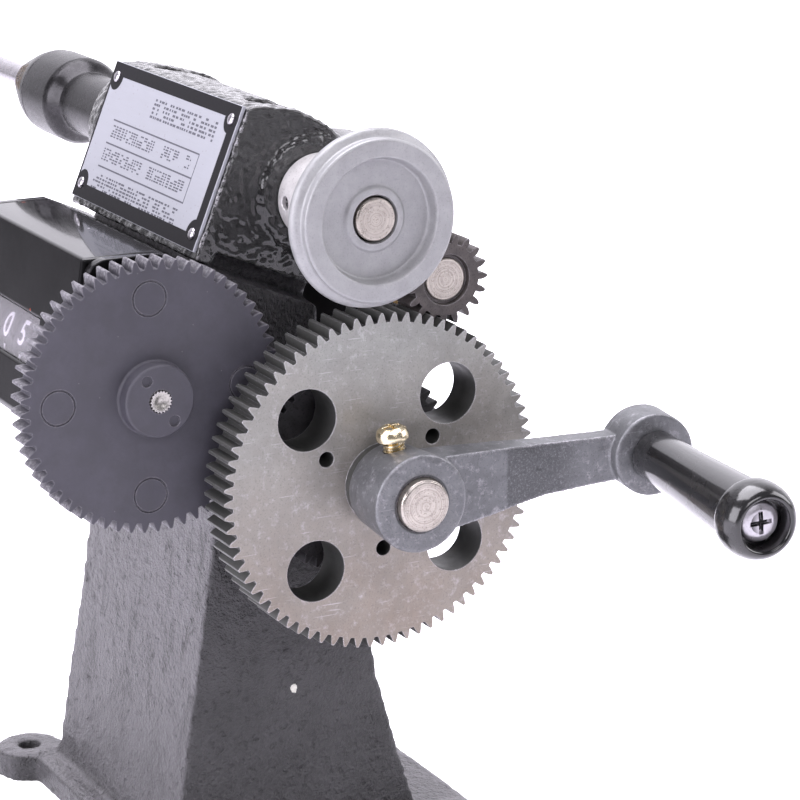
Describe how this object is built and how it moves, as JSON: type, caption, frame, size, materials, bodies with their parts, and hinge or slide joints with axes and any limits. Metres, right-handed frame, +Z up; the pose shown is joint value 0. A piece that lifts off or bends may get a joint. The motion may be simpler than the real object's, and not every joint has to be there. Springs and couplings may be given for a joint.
{
  "type": "hand coil winder",
  "caption": "Hand-cranked bench winder: a crank gear train turns a winding spindle with pulley and chuck and drives a mechanical turn counter.",
  "frame": {"origin": "centre of the four base bolt holes, on the underside of the base", "axes": "+X along the shafts towards the crank handle and gears, +Y from the operator's side with the counter to the back, +Z up"},
  "size_m": [0.3813, 0.1479, 0.1807],
  "materials": {
    "black_casting": "wrinkled glossy black enamel on cast iron",
    "black_sheet": "black paint on steel",
    "black_enamel": "smooth glossy black enamel on a light alloy housing",
    "screw_steel": "bright zinc plated steel",
    "dark_screw": "blackened steel",
    "plate": "printed aluminium, silver with a black border",
    "window": "clear window",
    "white_plastic": "off-white moulded plastic",
    "bronze": "oiled sintered bronze",
    "turned_steel": "turned steel with concentric tool marks",
    "gear_steel": "grey machined steel with stains",
    "dark_gear": "oily dark steel",
    "phosphated": "blue-grey phosphated casting with worn edges",
    "brass_screw": "yellow passivated screw",
    "black_lacquer": "glossy black lacquer",
    "brown_gear": "dark brown oiled steel",
    "die_cast": "satin grey die casting",
    "blackened_steel": "blackened steel",
    "rod_steel": "plain drawn steel",
    "black_plastic": "matte black moulded plastic",
    "wheel_plastic": "black plastic with white numerals"
  },
  "bodies": {
    "stand": {"stand": "black_casting", "head_casting": "black_casting", "gear_guard": "black_sheet", "guard_screws": "screw_steel", "head_bolts": "dark_screw", "nameplate": "plate", "nameplate_rivets": "screw_steel", "counter_housing": "black_enamel", "counter_cap_right": "black_enamel", "counter_cap_left": "black_enamel", "cap_screws": "dark_screw", "counter_window": "window", "transfer_shaft": "screw_steel", "transfer_pinions": "white_plastic", "crank_bush_right": "bronze", "crank_bush_left": "bronze", "idler_bush_right": "bronze", "idler_bush_left": "bronze", "spindle_bush_right": "bronze", "spindle_bush_left": "bronze"},
    "crank": {"crank_shaft": "turned_steel", "drive_gear": "gear_steel", "counter_drive_gear": "dark_gear", "crank_collar": "turned_steel", "crank_collar_screw": "dark_screw", "crank_arm": "phosphated", "clamp_screw": "brass_screw", "handle_screw": "screw_steel"},
    "grip": {"handle_grip": "black_lacquer"},
    "idler": {"idler_shaft": "turned_steel", "idler_pinion": "brown_gear", "idler_gear": "gear_steel"},
    "spindle": {"spindle": "turned_steel", "spindle_pinion": "gear_steel", "spindle_collar": "turned_steel", "spindle_collar_screw": "dark_screw", "pulley": "die_cast", "pulley_screw": "dark_screw", "chuck_body": "blackened_steel", "chuck_nose": "blackened_steel", "mandrel": "rod_steel", "inner_cone": "bronze", "inner_cone_screw": "dark_screw"},
    "clamp_end": {"outer_cone": "bronze", "mandrel_nut": "rod_steel"},
    "counter_drive": {"counter_shaft": "turned_steel", "counter_gear": "black_plastic", "units_wheel": "wheel_plastic"},
    "tens": {"tens_wheel": "wheel_plastic"},
    "hundreds": {"hundreds_wheel": "wheel_plastic"},
    "thousands": {"thousands_wheel": "wheel_plastic"},
    "reset": {"reset_knob": "black_plastic"}
  },
  "joints": [
    {"name": "crank_turn", "type": "hinge", "parent": "stand", "child": "crank", "pos_m": [0.057, 0.011, 0.097], "axis": [1, 0, 0], "continuous": true},
    {"name": "grip_spin", "type": "hinge", "parent": "crank", "child": "grip", "pos_m": [0.07573, 0.06871, 0.10164], "axis": [0.993, -0.118, -0.0095], "continuous": true},
    {"name": "idler_turn", "type": "hinge", "parent": "stand", "child": "idler", "pos_m": [0.057, 0.02864, 0.1411], "axis": [1, 0, 0], "continuous": true},
    {"name": "spindle_turn", "type": "hinge", "parent": "stand", "child": "spindle", "pos_m": [0.057, 0.00487, 0.15941], "axis": [1, 0, 0], "continuous": true},
    {"name": "counter_turn", "type": "hinge", "parent": "stand", "child": "counter_drive", "pos_m": [0.057, -0.0381, 0.11948], "axis": [1, 0, 0], "continuous": true},
    {"name": "tens_turn", "type": "hinge", "parent": "stand", "child": "tens", "pos_m": [-0.003, -0.0381, 0.11948], "axis": [1, 0, 0], "continuous": true},
    {"name": "hundreds_turn", "type": "hinge", "parent": "stand", "child": "hundreds", "pos_m": [-0.013, -0.0381, 0.11948], "axis": [1, 0, 0], "continuous": true},
    {"name": "thousands_turn", "type": "hinge", "parent": "stand", "child": "thousands", "pos_m": [-0.023, -0.0381, 0.11948], "axis": [1, 0, 0], "continuous": true},
    {"name": "reset_turn", "type": "hinge", "parent": "stand", "child": "reset", "pos_m": [-0.038, -0.0445, 0.138], "axis": [1, 0, 0], "range_deg": [0, 360]},
    {"name": "cone_slide", "type": "slide", "parent": "spindle", "child": "clamp_end", "axis": [1, 0, 0], "range_m": [-0.01, 0.008]}
  ],
  "couplings": [
    {"joint": "idler_turn", "follows": "crank_turn", "ratio": -4},
    {"joint": "spindle_turn", "follows": "crank_turn", "ratio": 8},
    {"joint": "counter_turn", "follows": "crank_turn", "ratio": -0.8},
    {"joint": "tens_turn", "follows": "crank_turn", "ratio": -0.08},
    {"joint": "hundreds_turn", "follows": "crank_turn", "ratio": -0.008},
    {"joint": "thousands_turn", "follows": "crank_turn", "ratio": -0.0008}
  ]
}
